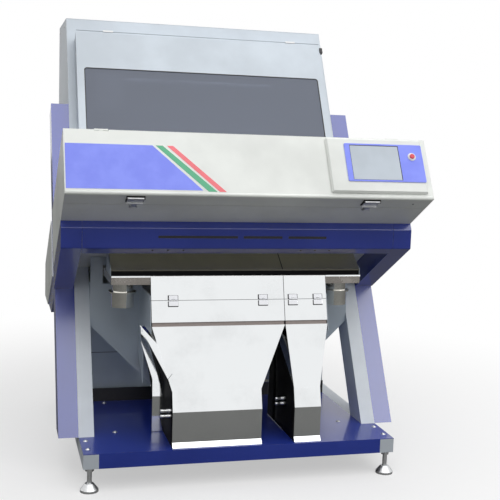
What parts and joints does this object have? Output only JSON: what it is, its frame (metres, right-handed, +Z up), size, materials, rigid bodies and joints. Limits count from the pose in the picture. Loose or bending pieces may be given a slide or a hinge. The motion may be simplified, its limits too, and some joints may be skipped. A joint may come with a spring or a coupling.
{
  "type": "optical colour sorter",
  "caption": "Optical colour sorter for grain with a leaning body, feed hopper, window door, hinged optics cover, outlet chutes with flaps and a base frame on levelling feet.",
  "frame": {"origin": "on the floor at the centre of the whole footprint", "axes": "+Z up, -Y towards the operator at the front, +X to the operator's right"},
  "size_m": [1.26, 1.528, 1.668],
  "materials": {
    "blue_paint": "gloss enamel",
    "grey_paint": "satin powder coat",
    "white_paint": "satin powder coat",
    "dark_paint": "satin paint",
    "stainless": "bright annealed sheet",
    "zinc": "zinc plated",
    "grey_plastic": "matte",
    "blue_plastic": "printed film",
    "screen": "anti-glare film",
    "white_plastic": "gloss",
    "red_plastic": "gloss",
    "black_plastic": "matte",
    "clear_glass": "clear",
    "smoked_glass": "smoked acrylic",
    "lamp": "opal diffuser",
    "aluminium": "anodised"
  },
  "bodies": {
    "machine_frame": {"base_tray": "blue_paint", "column_left": "blue_paint", "column_right": "blue_paint", "front_arms": "blue_paint", "rear_arms": "blue_paint", "front_beam": "blue_paint", "side_rails": "grey_paint", "cross_rails": "grey_paint", "post_left": "grey_paint", "post_right": "grey_paint", "rear_legs": "grey_paint", "housing_sides": "grey_paint", "housing_front": "grey_paint", "housing_roof": "grey_paint", "housing_back": "grey_paint", "front_box": "white_paint", "cover_hinges": "white_paint", "rear_box": "white_paint", "rear_cover": "white_paint", "rear_funnel": "dark_paint", "feeder_drives": "dark_paint", "chute_wide": "stainless", "chute_narrow": "stainless", "outlet_slide": "stainless", "rear_chute": "stainless", "outlet_panels": "stainless", "flap_hinges": "stainless", "dust_tray": "stainless", "apron_plates": "stainless", "spout_left": "stainless", "spout_right": "stainless", "hopper": "stainless", "slide_lanes": "stainless", "door_hinges": "zinc", "latch_keepers": "zinc", "rail_caps": "grey_plastic", "cameras": "black_plastic", "air_valves": "black_plastic", "viewing_glasses": "clear_glass", "lamp_bars": "lamp", "ejector_bar": "aluminium"},
    "front_cover": {"front_cover": "white_paint", "control_bezel": "white_paint", "screen_frame": "blue_plastic", "screen_panel": "screen", "button_collar": "white_plastic", "latch_plates": "black_plastic"},
    "push_button": {"push_button": "red_plastic"},
    "latch_lever_left": {"latch_lever_left": "zinc"},
    "latch_lever_right": {"latch_lever_right": "zinc"},
    "window_door": {"window_door": "grey_paint", "window_pane": "smoked_glass"},
    "flap_wide": {"flap_wide": "stainless"},
    "flap_narrow": {"flap_narrow": "stainless"},
    "feeder_tray_wide": {"feeder_tray_wide": "stainless"},
    "feeder_tray_narrow": {"feeder_tray_narrow": "stainless"},
    "foot_front_left": {"foot_front_left": "zinc"},
    "foot_front_right": {"foot_front_right": "zinc"},
    "foot_rear_left": {"foot_rear_left": "zinc"},
    "foot_rear_right": {"foot_rear_right": "zinc"}
  },
  "joints": [
    {"name": "front_cover_hinge", "type": "hinge", "parent": "machine_frame", "child": "front_cover", "pos_m": [0, -0.64716, 1.20537], "axis": [-1, 0, 0], "range_deg": [0, 80]},
    {"name": "push_button_slide", "type": "slide", "parent": "front_cover", "child": "push_button", "axis": [0, 0.8746, -0.4848], "range_m": [0, 0.003], "stiffness_N_per_m": 400, "springref_m": -0.003},
    {"name": "latch_left_hinge", "type": "hinge", "parent": "front_cover", "child": "latch_lever_left", "pos_m": [-0.405, -0.75336, 0.99212], "axis": [-1, 0, 0], "range_deg": [0, 85]},
    {"name": "latch_right_hinge", "type": "hinge", "parent": "front_cover", "child": "latch_lever_right", "pos_m": [0.405, -0.75336, 0.99212], "axis": [-1, 0, 0], "range_deg": [0, 85]},
    {"name": "window_door_hinge", "type": "hinge", "parent": "machine_frame", "child": "window_door", "pos_m": [0, 0.28235, 1.57967], "axis": [-1, 0, 0], "range_deg": [0, 75]},
    {"name": "flap_wide_hinge", "type": "hinge", "parent": "machine_frame", "child": "flap_wide", "pos_m": [0, -0.5722, 0.62836], "axis": [-1, 0, 0], "range_deg": [0, 70]},
    {"name": "flap_narrow_hinge", "type": "hinge", "parent": "machine_frame", "child": "flap_narrow", "pos_m": [0, -0.5722, 0.62836], "axis": [-1, 0, 0], "range_deg": [0, 70]},
    {"name": "feeder_wide_shake", "type": "slide", "parent": "machine_frame", "child": "feeder_tray_wide", "axis": [0, 1, 0], "range_m": [-0.001, 0.001], "stiffness_N_per_m": 20000},
    {"name": "feeder_narrow_shake", "type": "slide", "parent": "machine_frame", "child": "feeder_tray_narrow", "axis": [0, 1, 0], "range_m": [-0.001, 0.001], "stiffness_N_per_m": 10000},
    {"name": "foot_front_left_turn", "type": "hinge", "parent": "machine_frame", "child": "foot_front_left", "pos_m": [-0.533, -0.67596, 0.09], "axis": [0, 0, 1], "continuous": true},
    {"name": "foot_front_right_turn", "type": "hinge", "parent": "machine_frame", "child": "foot_front_right", "pos_m": [0.533, -0.67596, 0.09], "axis": [0, 0, 1], "continuous": true},
    {"name": "foot_rear_left_turn", "type": "hinge", "parent": "machine_frame", "child": "foot_rear_left", "pos_m": [-0.533, 0.46404, 0.09], "axis": [0, 0, 1], "continuous": true},
    {"name": "foot_rear_right_turn", "type": "hinge", "parent": "machine_frame", "child": "foot_rear_right", "pos_m": [0.533, 0.46404, 0.09], "axis": [0, 0, 1], "continuous": true}
  ]
}
